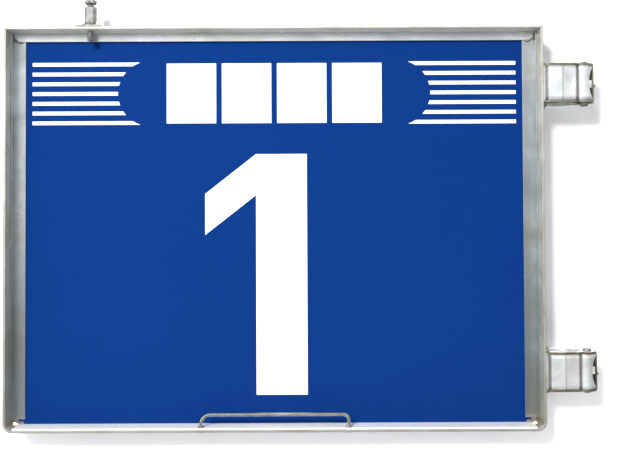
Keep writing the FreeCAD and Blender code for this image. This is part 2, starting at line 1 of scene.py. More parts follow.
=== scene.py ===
import math
import bpy
import numpy as np
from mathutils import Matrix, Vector


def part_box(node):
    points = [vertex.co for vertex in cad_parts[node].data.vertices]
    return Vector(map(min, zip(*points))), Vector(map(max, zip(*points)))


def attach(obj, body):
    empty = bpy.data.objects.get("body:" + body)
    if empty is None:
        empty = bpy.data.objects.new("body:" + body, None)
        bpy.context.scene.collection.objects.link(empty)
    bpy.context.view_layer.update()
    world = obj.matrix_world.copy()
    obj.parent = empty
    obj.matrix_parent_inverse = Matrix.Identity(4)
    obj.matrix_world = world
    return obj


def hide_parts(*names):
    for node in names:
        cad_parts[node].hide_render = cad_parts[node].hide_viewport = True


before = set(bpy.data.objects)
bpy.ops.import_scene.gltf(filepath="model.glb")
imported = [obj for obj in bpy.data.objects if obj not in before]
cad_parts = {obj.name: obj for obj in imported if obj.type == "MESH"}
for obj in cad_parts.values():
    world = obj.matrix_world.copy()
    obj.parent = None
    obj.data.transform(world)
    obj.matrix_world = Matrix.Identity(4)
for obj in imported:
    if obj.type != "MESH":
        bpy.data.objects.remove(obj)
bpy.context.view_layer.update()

# ---------------------------------------------------------------- plated frame bar
# One flat steel bar on edge, bent into a U with two soft bottom corners.  It is zinc plated and
# lightly passivated, so it is pale grey with faint straw and brown along its edges.
BAR_NODES = ("left_side", "right_side", "left_corner", "right_corner", "bottom_leg")
WALL = 0.004
CORNER = 0.014
LIP_EDGE = 0.0007


def span(*nodes):
    """Lowest and highest corner round several nodes."""
    boxes = [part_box(node) for node in nodes]
    return (np.min([low for low, _ in boxes], axis=0), np.max([high for _, high in boxes], axis=0))


def arc(centre, radius, start, stop, count=10):
    """Points at centre + radius * (cos a, sin a) for angles a in degrees from start to stop."""
    angle = np.radians(np.linspace(start, stop, count))
    return np.stack([centre[0] + radius * np.cos(angle), centre[1] + radius * np.sin(angle)], 1)


def mesh_object(name, *shells, sharp=35):
    """Object at the origin from shells of (points, faces), smooth up to the sharp angle."""
    points, faces = [], []
    for shell_points, shell_faces in shells:
        faces += [[index + len(points) for index in face] for face in shell_faces]
        points += [tuple(map(float, point)) for point in shell_points]
    mesh = bpy.data.meshes.new(name)
    mesh.from_pydata(points, [], faces)
    mesh.polygons.foreach_set("use_smooth", [True] * len(mesh.polygons))
    mesh.set_sharp_from_angle(angle=math.radians(sharp))
    mesh.update()
    piece = bpy.data.objects.new(name, mesh)
    bpy.context.collection.objects.link(piece)
    return piece


def soften(piece, edge):
    """Rounds a piece's sharp edges by the edge width."""
    bevel = piece.modifiers.new("soft_edges", "BEVEL")
    bevel.width = edge
    bevel.segments = 2
    bevel.limit_method = "ANGLE"
    bevel.angle_limit = math.radians(35)
    bevel.harden_normals = True
    return piece


def prism(outline, axis, low, high):
    """Shell of the outline repeated at low and high along the axis.

    The wall is one quad for each side of the outline, and each end is one flat face.
    """
    flat = np.asarray(outline, dtype=float)
    turn = np.sum(flat[:, 0] * np.roll(flat[:, 1], -1) - np.roll(flat[:, 0], -1) * flat[:, 1])
    if (turn < 0) != (axis == "y"):
        flat = flat[::-1]
    count = len(flat)
    first, second, along = {"x": (1, 2, 0), "y": (0, 2, 1), "z": (0, 1, 2)}[axis]
    points = np.zeros((2 * count, 3))
    points[:, first] = np.tile(flat[:, 0], 2)
    points[:, second] = np.tile(flat[:, 1], 2)
    points[:, along] = np.repeat([low, high], count)
    here = np.arange(count)
    after = np.roll(here, -1)
    walls = np.stack([here, after, after + count, here + count], 1).tolist()
    return points, walls + [here[::-1].tolist(), (here + count).tolist()]


def block(low, high):
    """Shell of a rectangular bar between two corners."""
    return prism([[low[1], low[2]], [high[1], low[2]], [high[1], high[2]], [low[1], high[2]]],
                 "x", low[0], high[0])


def fit(piece, body, material, slot, *nodes):
    """Gives a piece its finish and its body, and hides the plain solids that it stands for."""
    piece.data.materials.clear()
    piece.data.materials.append(material)
    if nodes:
        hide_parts(*nodes)
    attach(piece, body)
    return piece


def group_nodes(tree):
    """Returns two short calls for building a node tree: add a node, and link two sockets."""
    def add(kind, **values):
        item = tree.nodes.new(kind)
        for key, value in values.items():
            if key.startswith("in_"):
                item.inputs[key[3:].replace("_", " ")].default_value = value
            else:
                setattr(item, key, value)
        return item
    return add, tree.links.new


def zinc_skin():
    """Node group for zinc plating.

    One noise blends Light into Dark in soft patches, a second lays Tint over some of them, and a
    fine one gives the grain that varies the roughness and the height.
    """
    tree = bpy.data.node_groups.new("zinc_skin", "ShaderNodeTree")
    for name, kind in (("Light", "Color"), ("Dark", "Color"), ("Tint", "Color"),
                       ("Patches", "Float"), ("Tinting", "Float")):
        tree.interface.new_socket(name, in_out="INPUT", socket_type="NodeSocket" + kind)
    for name, kind in (("Color", "Color"), ("Roughness", "Float"), ("Height", "Float")):
        tree.interface.new_socket(name, in_out="OUTPUT", socket_type="NodeSocket" + kind)
    add, link = group_nodes(tree)
    given = add("NodeGroupInput")
    made = add("NodeGroupOutput")
    where = add("ShaderNodeTexCoord")
    patch = add("ShaderNodeTexNoise", in_Detail=4.0, in_Roughness=0.62, in_Distortion=0.7)
    link(where.outputs["Object"], patch.inputs["Vector"])
    link(given.outputs["Patches"], patch.inputs["Scale"])
    spread = add("ShaderNodeMapRange", in_From_Min=0.36, in_From_Max=0.66)
    link(patch.outputs["Fac"], spread.inputs["Value"])
    body = add("ShaderNodeMix", data_type="RGBA")
    link(spread.outputs["Result"], body.inputs[0])
    link(given.outputs["Light"], body.inputs[6])
    link(given.outputs["Dark"], body.inputs[7])
    stain = add("ShaderNodeTexNoise", in_Scale=11.0, in_Detail=5.0, in_Roughness=0.7)
    link(where.outputs["Object"], stain.inputs["Vector"])
    stain_range = add("ShaderNodeMapRange", in_From_Min=0.5, in_From_Max=0.72)
    link(stain.outputs["Fac"], stain_range.inputs["Value"])
    share = add("ShaderNodeMath", operation="MULTIPLY")
    link(stain_range.outputs["Result"], share.inputs[0])
    link(given.outputs["Tinting"], share.inputs[1])
    tinted = add("ShaderNodeMix", data_type="RGBA")
    link(share.outputs["Value"], tinted.inputs[0])
    link(body.outputs[2], tinted.inputs[6])
    link(given.outputs["Tint"], tinted.inputs[7])
    link(tinted.outputs[2], made.inputs["Color"])
    grain = add("ShaderNodeTexNoise", in_Scale=900.0, in_Detail=3.0, in_Roughness=0.6)
    link(where.outputs["Object"], grain.inputs["Vector"])
    both = add("ShaderNodeMath", operation="MULTIPLY_ADD")
    link(patch.outputs["Fac"], both.inputs[0])
    both.inputs[1].default_value = 0.6
    link(grain.outputs["Fac"], both.inputs[2])
    rough = add("ShaderNodeMapRange", in_From_Min=0.5, in_From_Max=1.1, in_To_Min=0.2,
                in_To_Max=0.42)
    link(both.outputs["Value"], rough.inputs["Value"])
    link(rough.outputs["Result"], made.inputs["Roughness"])
    link(both.outputs["Value"], made.inputs["Height"])
    return tree


ZINC = zinc_skin()


def plated(name, light, dark, tint, patches=26.0, tinting=0.5, bump=0.00006, metallic=0.92,
           painted_shade=None):
    """Zinc-plated steel: the zinc skin drives colour, roughness and a slight bump.

    With a shade colour, the piece's own attribute lays that colour over the zinc as painted shade.
    """
    material = bpy.data.materials.new(name)
    material.use_nodes = True
    add, link = group_nodes(material.node_tree)
    shader = material.node_tree.nodes["Principled BSDF"]
    shader.inputs["Metallic"].default_value = metallic
    skin = add("ShaderNodeGroup", node_tree=ZINC)
    for socket, value in (("Light", (*light, 1)), ("Dark", (*dark, 1)), ("Tint", (*tint, 1)),
                          ("Patches", patches), ("Tinting", tinting)):
        skin.inputs[socket].default_value = value
    # Painted shade: the attribute mixes the zinc toward the given dark colour where shade falls.
    if painted_shade:
        where_painted_shade = add("ShaderNodeAttribute", attribute_name="painted_shade")
        painted_shade_mix = add("ShaderNodeMix", data_type="RGBA")
        painted_shade_mix.inputs[7].default_value = (*painted_shade, 1)
        link(where_painted_shade.outputs["Fac"], painted_shade_mix.inputs[0])
        link(skin.outputs["Color"], painted_shade_mix.inputs[6])
        link(painted_shade_mix.outputs[2], shader.inputs["Base Color"])
    else:
        link(skin.outputs["Color"], shader.inputs["Base Color"])
    link(skin.outputs["Roughness"], shader.inputs["Roughness"])
    relief = add("ShaderNodeBump", in_Strength=0.5, in_Distance=bump)
    link(skin.outputs["Height"], relief.inputs["Height"])
    link(relief.outputs["Normal"], shader.inputs["Normal"])
    return material


lip_zinc = plated("lip_zinc", (0.82, 0.80, 0.72), (0.62, 0.60, 0.53), (0.50, 0.38, 0.20),
                  patches=22.0, tinting=0.5, metallic=0.8)

(left, front, bottom), (right, rear, top) = span(*BAR_NODES)
bar_outline = np.concatenate([
    [[left, top]],
    arc((left + CORNER, bottom + CORNER), CORNER, 180, 270),
    arc((right - CORNER, bottom + CORNER), CORNER, 270, 360),
    [[right, top], [right - WALL, top]],
    arc((right - CORNER, bottom + CORNER), CORNER - WALL, 360, 270),
    arc((left + CORNER, bottom + CORNER), CORNER - WALL, 270, 180),
    [[left + WALL, top]],
])
frame_bar = soften(mesh_object("frame_bar", prism(bar_outline, "y", front, rear)), LIP_EDGE)
fit(frame_bar, "frame", lip_zinc, "plated_frame", *BAR_NODES)

# ---------------------------------------------------------------- top bar and bottom liner
# A straight bar of the same steel closes the top between the two sides, and a thinner strip lies
# in the bottom of the frame, where the board stands on it.
# Painted light: the liner is near-white and not metallic, a lit copy of the zinc, so that its upward
# face reads as lit from above.
liner_painted_light = plated("liner_painted_light", (0.95, 0.95, 0.92), (0.86, 0.86, 0.82), (0.72, 0.66, 0.5),
                    patches=14.0, tinting=0.15, metallic=0.0)
underside_zinc = plated("underside_zinc", (0.80, 0.78, 0.71), (0.62, 0.60, 0.54), (0.44, 0.36, 0.22),
                        patches=20.0, tinting=0.5, metallic=0.35)
top_steel = soften(mesh_object("top_bar_steel", block(*span("top_bar"))), LIP_EDGE)
fit(top_steel, "frame", underside_zinc, "plated_frame", "top_bar")
liner_strip = soften(mesh_object("bottom_liner_strip", block(*span("bottom_liner"))), 0.0004)
fit(liner_strip, "frame", liner_painted_light, "plated_frame", "bottom_liner")

# ---------------------------------------------------------------- face plates
# Thin steel angles stand inside the frame beside the board: a wide face, a return that runs
# forward on the frame's wall, and across the top a plate with rounded ends lapped over them.
face_zinc = plated("face_zinc", (0.66, 0.69, 0.71), (0.48, 0.52, 0.53), (0.46, 0.42, 0.28),
                   patches=17.0, tinting=0.35, metallic=0.97)
# Painted light: the top plate's zinc is a lighter copy of the face zinc, standing in for the light that
# falls on it.
lap_painted_light = plated("lap_painted_light", (0.86, 0.88, 0.90), (0.70, 0.73, 0.75), (0.60, 0.55, 0.40),
                  patches=17.0, tinting=0.25, metallic=0.85)
PLATE = 0.002


def face_angle(name, side, *nodes):
    """L section run up the height of its nodes; side is 1 where the return is at the left."""
    low, high = span(*nodes)
    wall, open_edge = (low[0], high[0]) if side > 0 else (high[0], low[0])
    outline = [
        [wall, high[1]],
        [open_edge, high[1]],
        [open_edge, high[1] - PLATE],
        [wall + side * PLATE, high[1] - PLATE],
        [wall + side * PLATE, low[1]],
        [wall, low[1]],
    ]
    bend_top = bottom + CORNER
    piece = soften(mesh_object(name, prism(outline, "z", bend_top, high[2])), 0.0006)
    return fit(piece, "frame", face_zinc, "plated_frame", *nodes)


face_angle("left_face_angle", 1, "left_plate", "left_return")
face_angle("right_face_angle", -1, "right_plate", "right_return")

face_low, face_high = span("top_face")
LAP = 0.0078
lap_outline = np.concatenate([
    [[face_low[0], face_high[2]]],
    arc((face_low[0] + LAP, face_low[2] + LAP), LAP, 180, 270),
    arc((face_high[0] - LAP, face_low[2] + LAP), LAP, 270, 360),
    [[face_high[0], face_high[2]]],
])
lap_shell = prism(lap_outline, "y", face_low[1], face_high[1])
fit(soften(mesh_object("top_face_plate", lap_shell), 0.0005),
    "frame", lap_painted_light, "plated_frame", "top_face")

# ---------------------------------------------------------------- board and film
# A flat panel with a saturated blue satin face.  The stripes, the title blocks and the numeral
# are white film cut out and laid on it.
def satin(name, light, dark, roughness, bump, specular):
    """Satin sheet: two close colours in wide soft patches, over a fine orange-peel bump."""
    material = bpy.data.materials.new(name)
    material.use_nodes = True
    add, link = group_nodes(material.node_tree)
    shader = material.node_tree.nodes["Principled BSDF"]
    shader.inputs["Specular IOR Level"].default_value = specular
    where = add("ShaderNodeTexCoord")
    wide = add("ShaderNodeTexNoise", in_Scale=5.0, in_Detail=3.0)
    peel = add("ShaderNodeTexNoise", in_Scale=420.0, in_Detail=2.0)
    for noise in (wide, peel):
        link(where.outputs["Object"], noise.inputs["Vector"])
    mix = add("ShaderNodeMix", data_type="RGBA")
    mix.inputs[6].default_value = (*light, 1)
    mix.inputs[7].default_value = (*dark, 1)
    link(wide.outputs["Fac"], mix.inputs[0])
    link(mix.outputs[2], shader.inputs["Base Color"])
    rough = add("ShaderNodeMapRange", in_To_Min=roughness - 0.06, in_To_Max=roughness + 0.06)
    link(wide.outputs["Fac"], rough.inputs["Value"])
    link(rough.outputs["Result"], shader.inputs["Roughness"])
    relief = add("ShaderNodeBump", in_Strength=0.25, in_Distance=bump)
    link(peel.outputs["Fac"], relief.inputs["Height"])
    link(relief.outputs["Normal"], shader.inputs["Normal"])
    return material


def dress(node, material, edge=0.0):
    """Gives a node of the frame its finish; an edge above zero welds and softens it too."""
    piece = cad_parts[node]
    piece.data.materials.clear()
    piece.data.materials.append(material)
    if edge:
        piece.modifiers.new("joined", "WELD").merge_threshold = 0.00001
        soften(piece, edge)


board_blue = satin("board_blue", (0.0026, 0.0284, 0.156), (0.0023, 0.0268, 0.149),
                   roughness=0.55, bump=0.00004, specular=0.04)
white_film = satin("white_film", (0.93, 0.93, 0.935), (0.90, 0.90, 0.91),
                   roughness=0.45, bump=0.00003, specular=0.3)
dress("board", board_blue)
for node in ("left_stripes", "right_stripes", "title_film", "numeral_film"):
    dress(node, white_film)

# ---------------------------------------------------------------- board fixings behind
# Two stepped bars trap the board against the face plates.  Each is drawn down by three nuts on
# threaded studs.
fixing_zinc = plated("fixing_zinc", (0.72, 0.72, 0.68), (0.46, 0.46, 0.42), (0.48, 0.38, 0.2),
                     patches=70.0, tinting=0.5)
rear_zinc = plated("rear_zinc", (0.76, 0.77, 0.76), (0.55, 0.56, 0.55), (0.52, 0.45, 0.28),
                   patches=24.0, tinting=0.4)
for node in ("left_retaining_bar", "right_retaining_bar"):
    dress(node, rear_zinc, 0.0003)


def turned(profile, axis, centre, flats=0.0, count=72):
    """Shell turned about an axis through the centre, from a profile of (radius, place).

    With flats, no point may stand outside a hexagon of that width: at the angle a its side is
    flats / 2 / cos(a mod 60 - 30) away, so a cone in the profile cuts the corners' chamfers.
    """
    profile = np.asarray(profile, dtype=float)
    angle = np.linspace(0, 2 * np.pi, count, endpoint=False)
    radius = np.repeat(profile[:, :1], count, axis=1)
    if flats:
        side = flats / 2 / np.cos(np.mod(angle, np.pi / 3) - np.pi / 6)
        radius = np.minimum(radius, side[None])
    place = np.repeat(profile[:, 1:2], count, axis=1)
    first, second = radius * np.cos(angle), radius * np.sin(angle)
    order = {"x": (place, first, second), "y": (first, place, -second), "z": (first, second, place)}
    points = np.stack([values.ravel() for values in order[axis]], 1) + np.asarray(centre)
    return points, grid_faces(len(profile), count, True)


def grid_faces(rows, columns, round_again):
    """Quads between neighbouring rows of points, and from the last column back if it goes round."""
    row = np.arange(rows - 1)[:, None] * columns
    here = np.arange(columns if round_again else columns - 1)[None]
    after = (here + 1) % columns
    quads = np.stack([row + here, row + after, row + columns + after, row + columns + here], -1)
    return quads.reshape(-1, 4).tolist()


THREAD_STEPS = 8
NUT_CHAMFER = 0.06


def thread(radius, depth, pitch, start, stop, axis, centre, count=24):
    """Shell of a screw thread from start to stop along the axis.

    At the angle a and place s the radius falls by depth * (1 + cos(2 pi s / pitch - a)) / 2, and
    the last turn at each end runs down to a blunt chamfer.
    """
    place = np.linspace(start, stop, int(abs(stop - start) / pitch * THREAD_STEPS) + 1)
    angle = np.linspace(0, 2 * np.pi, count, endpoint=False)
    wave = (1 + np.cos(2 * np.pi * place[:, None] / pitch - angle[None])) / 2
    blunt = np.clip(1 - np.minimum(np.abs(place - start), np.abs(place - stop)) / pitch, 0, 1)
    reach = radius - depth * np.maximum(wave, blunt[:, None])
    place = np.repeat(place[:, None], count, axis=1)
    first, second = reach * np.cos(angle), reach * np.sin(angle)
    order = {"y": (first, place, -second), "z": (first, second, place)}
    points = np.stack([values.ravel() for values in order[axis]], 1) + np.asarray(centre)
    faces = grid_faces(len(wave), count, True)
    caps = [list(range(count))[::-1], list(range(len(points) - count, len(points)))]
    return points, faces + caps


def hex_nut(flats, bore, low, high, axis, centre):
    """Nut with chamfered corners on both faces, each cut down by a share of its width."""
    corner = flats / 2 / math.cos(math.pi / 6)
    drop = flats * NUT_CHAMFER
    face = flats / 2 * 0.96
    return turned([(bore, low), (face, low), (corner, low + drop), (corner, high - drop),
                   (face, high), (bore, high), (bore, low)], axis, centre, flats)


STUD_RADIUS = 0.0025
STUD_NUT_FLATS = 0.008
stud_low, stud_high = span("board_studs")
nut_low, nut_high = span("board_nuts")
stud_columns = (stud_low[0] + STUD_RADIUS, stud_high[0] - STUD_RADIUS)
stud_rows = np.linspace(stud_low[2] + STUD_RADIUS, stud_high[2] - STUD_RADIUS, 3)
stud_shells, nut_shells = [], []
for x in stud_columns:
    for z in stud_rows:
        stud_shells.append(thread(STUD_RADIUS, 0.0004, 0.0008, stud_low[1], stud_high[1], "y",
                                  (x, 0, z)))
        nut_shells.append(hex_nut(STUD_NUT_FLATS, STUD_RADIUS, nut_low[1], nut_high[1], "y",
                                  (x, 0, z)))
for name, shells, node in (("board_stud_threads", stud_shells, "board_studs"),
                           ("board_hex_nuts", nut_shells, "board_nuts")):
    fit(mesh_object(name, *shells), "frame", fixing_zinc, "plated_fastener", node)

# ---------------------------------------------------------------- weld beads
# Short lumpy beads join the frame's corners, the post and the clamps.  They are duller and darker
# than the plate, with straw and blue tints.
weld_zinc = plated("weld_zinc", (0.62, 0.61, 0.56), (0.24, 0.24, 0.23), (0.34, 0.26, 0.14),
                   patches=160.0, tinting=0.7, bump=0.0004, metallic=0.8)
RIPPLE = 0.0022


def swept(path, radii, count):
    """Shell of a round section carried along the path; its radius is given at each point.

    The section's first direction is carried on from point to point and squared to the path, so
    that it doesn't twist.
    """
    path = np.asarray(path, dtype=float)
    radii = np.broadcast_to(np.asarray(radii, dtype=float), len(path))
    ahead = np.gradient(path, axis=0)
    ahead /= np.linalg.norm(ahead, axis=1, keepdims=True)
    side = np.cross(ahead[0], (0.31, 0.87, 0.38))
    angle = np.linspace(0, 2 * np.pi, count, endpoint=False)[:, None]
    rings = []
    for middle_point, direction, radius in zip(path, ahead, radii):
        side = side - direction * np.dot(side, direction)
        side /= np.linalg.norm(side)
        up = np.cross(direction, side)
        rings.append(middle_point + radius * (np.cos(angle) * side + np.sin(angle) * up))
    caps = [list(range(count))[::-1], list(range((len(path) - 1) * count, len(path) * count))]
    return np.concatenate(rings), grid_faces(len(path), count, True) + caps


def bead(start, stop, radius, phase):
    """Weld bead between two points, thinner at both ends.

    At a place s its radius is scaled by 0.84 + 0.16 |sin(pi s / RIPPLE + phase)|, one ripple
    behind another, and by a slow wave that makes it lumpy.
    """
    start, stop = np.asarray(start, float), np.asarray(stop, float)
    length = np.linalg.norm(stop - start)
    share = np.linspace(0, 1, max(int(length / RIPPLE * 6), 12))
    waves = 0.84 + 0.16 * np.abs(np.sin(np.pi * share * length / RIPPLE + phase))
    lumps = 1 + 0.14 * np.sin(5.1 * np.pi * share + 2.3 * phase)
    ends = np.sqrt(np.clip(4 * share * (1 - share), 0.02, 1)) ** 0.6
    return swept(start + share[:, None] * (stop - start), radius * waves * lumps * ends, 12)


corner_beads = []
under = face_low[2] - 0.001
floor = bottom + WALL
y = face_low[1] + 0.0008
for side, edge in ((1, left + WALL), (-1, right - WALL)):
    x = edge + side * 0.003
    corner_beads += [
        bead((x, y, under + 0.006), (x + side * 0.006, y, under), 0.0021, 0.4),
        bead((x + side * 0.005, y, under), (x + side * 0.013, y, under + 0.0004), 0.0019, 1.1),
        bead((x - side * 0.001, y, under + 0.002), (x, y, under + 0.010), 0.0016, 2.0),
        bead((edge + side * 0.0012, y + 0.004, floor + 0.011),
             (edge + side * 0.010, y + 0.004, floor + 0.006), 0.0042, 0.7),
        bead((edge + side * 0.008, y + 0.004, floor + 0.004),
             (edge + side * 0.018, y + 0.004, floor + 0.004), 0.0034, 1.9),
    ]
fit(mesh_object("frame_corner_welds", *corner_beads), "frame", weld_zinc, "plated_frame")

# ---------------------------------------------------------------- wire handle
# Round wire bent twice into a low loop, its left bend softer than its right.  Its legs pass
# through the bottom of the frame, and splayed weld feet hold them on the liner.
handle_zinc = plated("handle_zinc", (0.66, 0.65, 0.60), (0.42, 0.41, 0.37), (0.42, 0.33, 0.18),
                     patches=90.0, tinting=0.5)
handle_low, handle_high = span("wire_handle")
WIRE = 0.0025
wire_y = (handle_low[1] + handle_high[1]) / 2
wire_left, wire_right = handle_low[0] + WIRE, handle_high[0] - WIRE
wire_top = handle_high[2] - WIRE
SOFT_BEND, TIGHT_BEND = 0.014, 0.008
flat_path = np.concatenate([
    [[wire_left, handle_low[2]], [wire_left, (handle_low[2] + wire_top) / 2 - 0.004]],
    arc((wire_left + SOFT_BEND, wire_top - SOFT_BEND), SOFT_BEND, 180, 90, 16),
    arc((wire_right - TIGHT_BEND, wire_top - TIGHT_BEND), TIGHT_BEND, 90, 0, 16),
    [[wire_right, (handle_low[2] + wire_top) / 2], [wire_right, handle_low[2]]],
])
wire_path = np.stack([flat_path[:, 0], np.full(len(flat_path), wire_y), flat_path[:, 1]], 1)
fit(mesh_object("handle_wire", swept(wire_path, WIRE, 24)), "frame", handle_zinc, "handle_wire",
    "wire_handle")
liner_top = span("bottom_liner")[1][2]
foot_profile = [(0.0026, 0.0036), (0.0032, 0.0022), (0.0046, 0.0009), (0.0054, -0.0004)]
feet = [turned(foot_profile, "z", (x, wire_y, liner_top), count=32) for x in (wire_left, wire_right)]
fit(mesh_object("handle_feet", *feet), "frame", weld_zinc, "handle_wire")

# ---------------------------------------------------------------- post on top
# A base plate and a long hexagon nut are welded on the top bar.  A hexagon bolt stands screwed
# into them with a little of its thread showing.
post_zinc = plated("post_zinc", (0.74, 0.73, 0.70), (0.44, 0.44, 0.42), (0.40, 0.32, 0.18),
                   patches=90.0, tinting=0.5, metallic=0.95)
dress("post_base", post_zinc, 0.0005)
long_low, long_high = span("post_nut")
bolt_low, bolt_high = span("post_bolt")
POST_FLATS = 0.016
BOLT_RADIUS = 0.005
HEAD_HEIGHT = 0.0064
post_x, post_y = (long_low[0] + long_high[0]) / 2, (long_low[1] + long_high[1]) / 2
post_line = (post_x, post_y, 0)
long_nut = hex_nut(POST_FLATS, BOLT_RADIUS, long_low[2], long_high[2], "z", post_line)
fit(mesh_object("post_long_nut", long_nut), "frame", post_zinc, "plated_fastener", "post_nut")
head_bottom = bolt_high[2] - HEAD_HEIGHT
head_corner = POST_FLATS / 2 / math.cos(math.pi / 6)
head_profile = [
    (0.0, head_bottom),
    (POST_FLATS * 0.48, head_bottom),
    (head_corner, head_bottom + 0.0008),
    (head_corner, bolt_high[2] - 0.0016),
    (POST_FLATS * 0.43, bolt_high[2]),
    (0.0, bolt_high[2]),
]
post_screw = mesh_object(
    "post_screw",
    turned(head_profile, "z", post_line, POST_FLATS),
    thread(BOLT_RADIUS, 0.0008, 0.0015, bolt_low[2], head_bottom, "z", post_line, 32))
fit(post_screw, "post_bolt", post_zinc, "plated_fastener", "post_bolt")
base_low, base_high = span("post_base")
flare_profile = [(0.0079, 0.0070), (0.0088, 0.0052), (0.0103, 0.0032), (0.0128, 0.0015),
                 (0.0162, 0.0002)]
flare_shell = turned(flare_profile, "z", (post_x, post_y, long_low[2]), count=96)
flare_points = flare_shell[0]
swirl = np.arctan2(flare_points[:, 1] - post_y, flare_points[:, 0] - post_x)
flare_points[:, 2] += 0.0007 * np.abs(np.sin(7 * swirl)) * np.sin(3 * swirl + 1)
flare_points[:, 1] = np.clip(flare_points[:, 1], base_low[1] + 0.0004, base_high[1] - 0.0004)
base_beads = [bead((x, base_low[1] + 0.001, base_low[2] + 0.0006),
                   (x, base_high[1] - 0.001, base_low[2] + 0.0006), 0.0022, 0.5)
              for x in (base_low[0], base_high[0])]
fit(mesh_object("post_welds", flare_shell, *base_beads), "frame", weld_zinc, "plated_frame")

# ---------------------------------------------------------------- pole clamps
# Each clamp's front half is one pressed sheet: bent round from the frame, creased, grooved and
# bulged over the rivet, between a thick ear above and below.  It ends in a hollow edge, with a
# rim beyond it that stays in front of the eye bolt, so that the bolt can swing out.
# Painted shade: the shade colour given here darkens the pressed sheet where its painted shade attribute
# is laid.
clamp_zinc = plated("clamp_zinc", (0.93, 0.94, 0.94), (0.66, 0.69, 0.71), (0.66, 0.62, 0.44),
                    patches=42.0, tinting=0.35, bump=0.0002, metallic=0.6, painted_shade=(0.14, 0.135, 0.115))
ear_zinc = plated("ear_zinc", (0.40, 0.38, 0.28), (0.20, 0.19, 0.14), (0.20, 0.15, 0.07),
                  patches=60.0, tinting=0.6, metallic=0.8)
# Painted shade: a near-black finish for walls that stand where there is only shade inside the clamp.
shade_wall_dark = plated("shade_wall_dark", (0.10, 0.11, 0.10), (0.04, 0.045, 0.04), (0.08, 0.06, 0.03),
                    patches=80.0, tinting=0.4, metallic=0.5)
POLE_RADIUS = 0.0243
SHEET_FRONT = -0.0275
SHEET_WALL = 0.0021
SHEET_INSET = 0.0022
HALF_TALL = 0.029
EAR_THICK = 0.0033
HOLLOW_START = 0.0351
HOLLOW_RADIUS = 0.040
RIM_FACE = 0.0445
RIM_WALL = 0.0024
RIM_REAR = -0.0137
RIM_HALF_TALL = 0.0268


def pressed_line():
    """Plan of the pressed sheet from the hinge side to the rim, with its creases softened."""
    wall = -0.030
    corners = np.concatenate([
        [[wall, 0.024], [wall, -0.010]],
        arc((wall + 0.0075, SHEET_FRONT + 0.0075), 0.0075, 180, 270, 12),
        [[-0.0055, SHEET_FRONT - 0.0014], [-0.0045, SHEET_FRONT - 0.0016],
         [-0.0036, SHEET_FRONT - 0.0002], [0.0130, SHEET_FRONT + 0.0002],
         [0.0156, SHEET_FRONT + 0.0001], [0.0172, SHEET_FRONT + 0.0022],
         [0.0192, SHEET_FRONT + 0.0024]],
        arc((0.0280, -0.0186), 0.0096, 205, 308, 24),
        [[0.0400, -0.0212], [0.0425, -0.0195]],
    ])
    steps = np.concatenate([[0], np.cumsum(np.linalg.norm(np.diff(corners, axis=0), axis=1))])
    along = np.linspace(0, steps[-1], 260)
    line = np.stack([np.interp(along, steps, corners[:, 0]), np.interp(along, steps, corners[:, 1])], 1)
    kernel = np.array([1, 2, 3, 2, 1]) / 9
    padded = np.pad(line, ((2, 2), (0, 0)), mode="edge")
    return np.stack([np.convolve(padded[:, 0], kernel, "valid"),
                     np.convolve(padded[:, 1], kernel, "valid")], 1)


def pressed_sheet(level):
    """Front and back of the sheet: its line at each height, pulled back near both edges.

    Its right end follows x = start + r - sqrt(r^2 - z^2), the hollow beside the rim, with r the
    hollow's radius, and stops where the rim's inner side begins.
    """
    line = pressed_line()
    heights = np.linspace(-HALF_TALL + SHEET_INSET, HALF_TALL - SHEET_INSET, 61)
    ends = np.minimum(HOLLOW_START + HOLLOW_RADIUS - np.sqrt(HOLLOW_RADIUS ** 2 - heights ** 2),
                      RIM_FACE - RIM_WALL)
    share = np.linspace(0, 1, len(line))
    sides = []
    for inward in (0.0, SHEET_WALL):
        rows = []
        for z, end in zip(heights, ends):
            stop = np.interp(end, line[-70:, 0], share[-70:])
            x = np.interp(share * stop, share, line[:, 0])
            y = np.interp(share * stop, share, line[:, 1])
            near = np.clip((abs(z) - 0.0195) / 0.0075, 0, 1) ** 2
            round_corner = np.hypot(np.maximum(-0.0195 - x, 0), max(abs(z) - 0.0165, 0)) / 0.0105
            near = near + 1.5 * np.clip(round_corner - 0.55, 0, 1) ** 2
            on_front = np.clip((x + 0.030) / 0.006, 0, 1)
            dish = np.exp(-((x - 0.006) / 0.008) ** 2) * np.exp(-(z / 0.014) ** 2)
            y = y + on_front * (0.0024 * near + 0.0007 * dish)
            normal = np.stack([-np.gradient(y), np.gradient(x)], 1)
            normal /= np.maximum(np.linalg.norm(normal, axis=1, keepdims=True), 1e-9)
            rows.append(np.stack([x + inward * normal[:, 0], y + inward * normal[:, 1],
                                  np.full(len(x), z + level)], 1))
        sides.append(np.concatenate(rows))
    count = len(line)
    outer = grid_faces(len(heights), count, False)
    total = len(sides[0])
    inner = [[index + total for index in face[::-1]] for face in outer]
    border = list(range(count)) + [count * row + count - 1 for row in range(1, len(heights))]
    border += [total - 1 - step for step in range(1, count)]
    border += [count * row for row in range(len(heights) - 2, 0, -1)]
    edge = [[after, here, here + total, after + total]
            for here, after in zip(border, border[1:] + border[:1])]
    return np.concatenate(sides), outer + inner + edge


